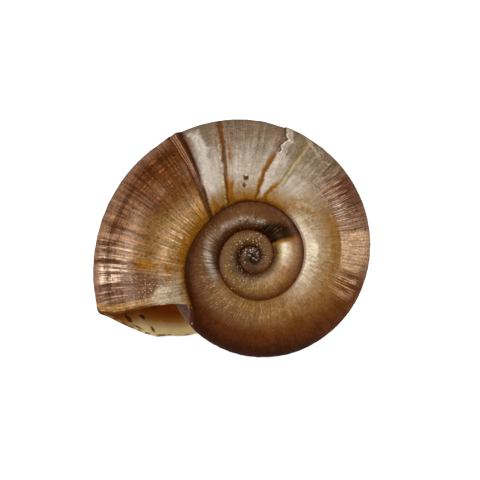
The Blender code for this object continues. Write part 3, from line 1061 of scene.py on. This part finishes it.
    def specks(self, colour):
        """Small pale specks near the lip, and pale dashes on the lip side of the rib."""
        coarse = self.place.dots(0.24 * MM, 0.065 * MM, 0.75)
        near_lip = self.lip.window(1.5, 15, 4) * self.seen.window(0.2, 0.6, 0.1)
        colour = mix(near_lip * coarse * 0.9, colour, PALE_SPECK)
        dashes = self.striae.step(0.5, 0.58) * self.spirals.step(0.54, 0.62)
        by_rib = self.back.window(50, 70, 10) * self.seen.window(0.5, 0.9, 0.15)
        return mix(by_rib * dashes * 0.5, colour, PINK_TAN)

    def paint(self):
        back = self.back
        colour = mix(back.step(78, 80), self.last_stretch(), self.pale_stretch())
        colour = mix(back.step(142, 158), colour, self.right_side())
        crazed = back.window(137, 156, 10) * self.w.window(0.5, 0.96, 0.1)
        colour = mix(crazed * 0.6, colour, GREY_BROWN)
        colour = mix(self.crazing * crazed * 0.35, colour, CREAM)
        colour = mix(back.step(198, 216), colour, self.lower_side())
        colour = self.streaks(colour)
        colour = self.chalk(colour)
        colour = self.rib(colour)
        colour = self.flake(colour)
        amber = back.window(128, 300, 30) * self.seen.bell(0.025, 0.03)
        colour = mix(amber * 0.6, colour, AMBER)
        colour = self.seams(colour)
        colour = self.worn_lip(colour)
        colour = self.specks(colour)
        colour = self.dust(colour, back.step(190, 260))
        calm = 0.4 + back.below(190, 250) * 0.6
        pale = back.window(80, 146, 6)
        calm -= pale * (0.4 + self.w.below(0.4, 0.7) * 0.3)
        calm -= back.window(79, 92, 4) * 0.25
        calm -= back.window(140, 206, 6) * self.w.below(0.4, 0.55) * 0.6
        spiral = 0.25 + back.below(76, 84) * 0.75
        colour = self.spots(self.shaded(colour, calm, spiral), self.back_raw, OUTER_SPOTS)
        lines = 0.5 + back.below(200, 260) * 0.6
        return self.finish(colour, lines - pale * 0.4, coat=0.05)


class InnerWhorlPaint(Paint):
    def __init__(self):
        super().__init__("inner_whorls")
        self.coarse_striae = self.stretched(0.26, 1.4, 2)

    def whorls(self):
        w, back = self.w, self.back
        second = w.ramp((0.04, DARK_BROWN), (0.35, EARTH_BROWN), (0.62, EARTH_BROWN), (0.9, RED_BROWN))
        colour = mix(back.step(332, 376), self.deep_brown(), second)
        # Painted highlight along the second whorl's crest
        crest = 0.13 + (back - 362) * 0.004
        shine = back.window(362, 408, 30) * (self.seen - crest).bell(0, 0.12)
        colour = mix(shine * self.striae.step(0.25, 0.65) * 0.7, colour, LAVENDER_WHITE)
        # Painted sheen: a soft pale band along the crest
        painted_crest_sheen = back.window(420, 505, 30) * self.seen.bell(0.24, 0.13)
        colour = mix(painted_crest_sheen * self.mottle.step(0.35, 0.6) * 0.35, colour, LAVENDER_WHITE)
        colour = mix(back.step(440, 500) * 0.35, colour, DARK_BROWN)
        dark_from = 524 + self.from_edge.square() * -44
        dark = (back - dark_from).step(-8, 8) * self.striae.below(0.52, 0.68)
        colour = mix(dark, colour, BLACK_BROWN)
        by_seam = (0.08, OLIVE_BROWN), (0.15, OLIVE_TAN), (0.27, BRIGHT_CREAM)
        patch = w.ramp(*by_seam, (0.5, PALE_TAN), (0.82, RUSSET))
        colour = mix(back.step(536, 540), colour, patch)
        colour = mix(back.bell(538.5, 6) * 0.9, colour, AMBER)
        fading = w.ramp((0.04, OLIVE_BROWN), (0.25, PALE_TAN), (0.5, HONEY), (0.85, RUSSET))
        colour = mix(back.step(556, 592), colour, fading)
        inner = w.ramp((0.04, DARK_BROWN), (0.3, OLIVE_BROWN), (0.6, EARTH_BROWN), (0.8, RED_BROWN))
        colour = mix(back.step(604, 700), colour, inner)
        tail = back.window(566, 640, 40) * w.bell(0.32, 0.22)
        colour = mix(tail * self.coarse_striae.step(0.35, 0.6) * 0.5, colour, PINK_TAN)
        # Painted glints as short pale strokes on the crests
        colour = self.strokes(colour, back.below(400, 440) * self.seen.bell(0.3, 0.3) * 0.45)
        colour = self.strokes(colour, back.step(580, 620) * self.seen.bell(0.4, 0.36) * 0.7)
        olive = back.window(640, 820, 60) * w.bell(0.5, 0.35)
        colour = mix(olive * 0.22, colour, YELLOW_OLIVE)
        outside = back.step(640, 700) * self.seen.step(0.62, 0.86)
        colour = mix(outside * 0.8, colour, DARK_BROWN)
        colour = mix(back.window(980, 1100, 60) * 0.6, colour, BLACK_BROWN)
        colour = mix(back.step(1040, 1180), colour, NUCLEUS_GREY)
        # Painted glints: small bright patches on the first whorls at the apex
        painted_nucleus_glints = self.place.noise(5200, 2, 0.6).step(0.55, 0.63)
        return mix(painted_nucleus_glints * back.step(1090, 1160) * 0.9, colour, LAVENDER_WHITE)

    def specks(self, colour):
        """Fine pale specks on the crests, more of them on the first whorls; they are painted glints."""
        first = self.back.step(600, 700) * self.clouds.step(0.4, 0.6)
        collar = self.back.window(760, 860, 40) * self.seen.below(0.15, 0.4)
        first = first + collar + self.back.step(1000, 1150) * 0.6
        crest = self.back.window(420, 500, 20) * self.seen.bell(0.22, 0.16)
        fine = self.place.dots(0.3 * MM, 0.08 * MM, 0.55)
        return mix((first + crest).at_most(1) * fine * 0.9, colour, PALE_SPECK)

    def callus(self, colour):
        """A grey skin with a crumbly red-brown edge, where the mouth wraps the whorl before."""
        skin = mix(self.mottle.step(0.42, 0.62), CALLUS, MAUVE_BROWN)
        colour = mix(self.inside.step(0.5, 0.8), colour, skin)
        colour = mix(self.inside.bell(0.45, 0.42) * 0.9, colour, RED_BROWN)
        crumbs = self.place.dots(0.36 * MM, 0.09 * MM, 0.5)
        return mix(crumbs * self.inside.bell(0.4, 0.36) * 0.9, colour, PEACH)

    def paint(self):
        colour = self.seams(self.whorls())
        colour = self.dust(self.specks(colour), 1)
        colour = self.callus(self.shaded(colour, 0.4))
        dull = self.back.window(440, 660, 30) * self.seen.step(0.55, 0.8) * 0.45
        return self.finish(colour, 0.5, gloss=0.2, dull=dull)


class LiningPaint(Paint):
    """Cream at the far lip and dark amber further in, partly the lining's own colour and partly painted
    shade, darkest under the near wall towards the outer edge.
    """

    def __init__(self):
        super().__init__("mouth_lining")

    def paint(self):
        # Painted shade: darker towards the outer edge, under the near wall
        painted_shade_by_outer_edge = self.band.below(1.12, 1.42) * 8
        depth_and_shade = (self.lip + self.mottle.centred(5) + painted_shade_by_outer_edge) * (1 / 14)
        colour = depth_and_shade.ramp((0.22, MOUTH_CREAM), (0.58, MOUTH_AMBER), (0.9, MOUTH_DARK))
        colour = colour.brighten(1 + self.mottle.centred(0.6))
        colour = self.spots(colour, self.lip, MOUTH_SPOTS)
        chipped = self.lip.below(0.2, 0.9) * self.mottle.step(0.46, 0.56) * 0.8
        colour = mix(chipped, colour, SPOT_BROWN)
        colour = mix(self.inside.below(0.2, 0.6), colour, RUSSET)
        return self.finish(colour, 0)


def floor_material():
    """White paper, lit a little from behind as on a light table."""
    material = bpy.data.materials.new("pale_floor")
    material.use_nodes = True
    surface = material.node_tree.nodes["Principled BSDF"]
    surface.inputs["Base Color"].default_value = FLOOR_COLOUR
    surface.inputs["Roughness"].default_value = FLOOR_ROUGHNESS
    surface.inputs["Emission Color"].default_value = FLOOR_COLOUR
    surface.inputs["Emission Strength"].default_value = FLOOR_GLOW
    return material


def add_object(item):
    bpy.context.scene.collection.objects.link(item)
    return item


def make_floor():
    mesh = bpy.data.meshes.new("floor")
    half = FLOOR_SIZE / 2
    corners = [(-half, -half, 0), (half, -half, 0), (half, half, 0), (-half, half, 0)]
    mesh.from_pydata(corners, [], [(0, 1, 2, 3)])
    floor = add_object(bpy.data.objects.new("floor", mesh))
    mesh.materials.append(floor_material())
    floor.visible_glossy = False


def make_lights():
    for name, place, size, power, mirrored in LIGHTS:
        light = bpy.data.lights.new(name, "AREA")
        light.shape = "RECTANGLE"
        light.size, light.size_y = size
        light.energy = power
        item = add_object(bpy.data.objects.new(name, light))
        item.location = place
        item.rotation_euler = (-Vector(place)).to_track_quat("-Z", "Y").to_euler()
        item.visible_glossy = mirrored
    world = bpy.data.worlds.new("pale_room")
    world.use_nodes = True
    background = world.node_tree.nodes["Background"]
    background.inputs["Color"].default_value = (1.0, 1.0, 1.0, 1.0)
    background.inputs["Strength"].default_value = ROOM_GLOW
    bpy.context.scene.world = world


def make_camera(pixel, middle):
    """Straight down, at the photograph's framing."""
    aim_x = middle.x + (IMAGE_SIZE / 2 - SHELL_MIDDLE_PIXEL[0]) * pixel
    aim_y = middle.y - (IMAGE_SIZE / 2 - SHELL_MIDDLE_PIXEL[1]) * pixel
    camera = bpy.data.cameras.new("camera")
    camera.sensor_width = SENSOR_WIDTH
    camera.lens = SENSOR_WIDTH * (CAMERA_HEIGHT - OUTLINE_HEIGHT) / (IMAGE_SIZE * pixel)
    camera.clip_start = 10 * MM
    item = add_object(bpy.data.objects.new("camera", camera))
    item.location = (aim_x, aim_y, CAMERA_HEIGHT)
    bpy.context.scene.camera = item


def main():
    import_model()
    low, high = (Vector(corner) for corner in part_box("shell"))
    shell = add_object(ShellSurface().to_object(low, high))
    pixel = (high.x - low.x) / SHELL_WIDTH_PIXELS
    middle = (low + high) / 2
    for paint in (LastWhorlPaint, InnerWhorlPaint, LiningPaint):
        shell.data.materials.append(paint().paint())
    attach(shell, "root")
    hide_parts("shell")
    make_floor()
    make_lights()
    make_camera(pixel, middle)
    bpy.context.scene.view_settings.view_transform = "Standard"


main()
